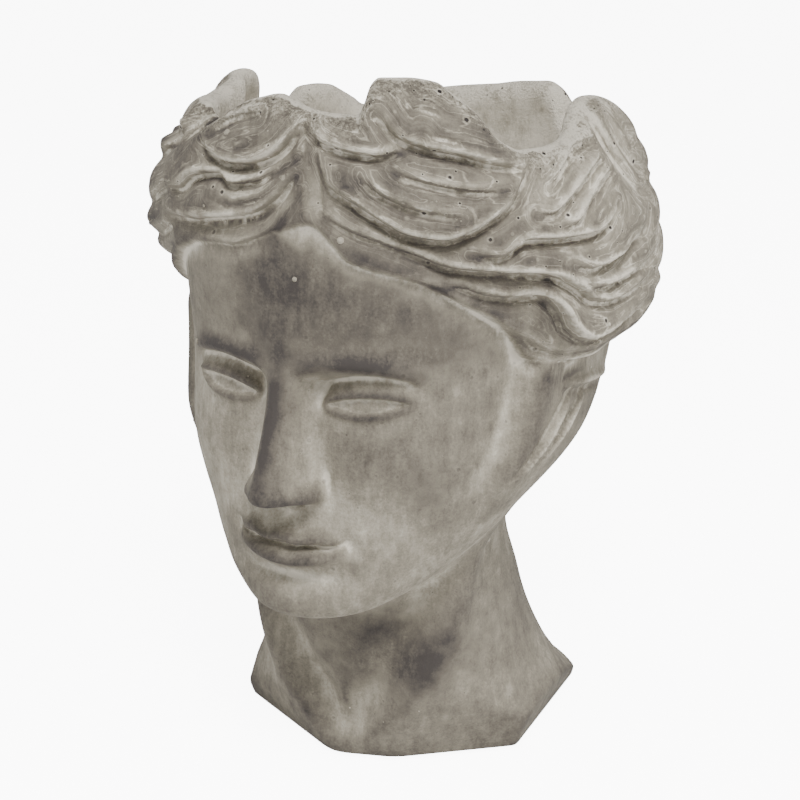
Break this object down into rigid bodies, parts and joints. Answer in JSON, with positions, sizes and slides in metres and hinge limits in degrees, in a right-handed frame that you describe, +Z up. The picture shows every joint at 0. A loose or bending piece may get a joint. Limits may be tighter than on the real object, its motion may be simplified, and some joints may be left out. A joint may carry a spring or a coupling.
{
  "type": "head planter",
  "caption": "Free-standing cement plant pot in the shape of a classical head, with wavy hair forming an open lobed rim, a planting cavity and a rubber drain plug.",
  "frame": {"origin": "on the table, under the middle of the overall box, in the plane of the foot pads' undersides", "axes": "+Z up, -Y the way the face looks, +X to the viewer's right of the face"},
  "size_m": [0.1794, 0.2, 0.25],
  "materials": {
    "cement": "matte",
    "plug_rubber": "matte",
    "pad_rubber": "matte"
  },
  "bodies": {
    "planter": {"head_casting": "cement", "foot_pad_front_left": "pad_rubber", "foot_pad_front_right": "pad_rubber", "foot_pad_back_left": "pad_rubber", "foot_pad_back_right": "pad_rubber"},
    "plug": {"drain_plug": "plug_rubber"}
  },
  "joints": [
    {"name": "drain_plug_pull", "type": "slide", "parent": "planter", "child": "plug", "axis": [0, 0, 1], "range_m": [0, 0.26]}
  ]
}
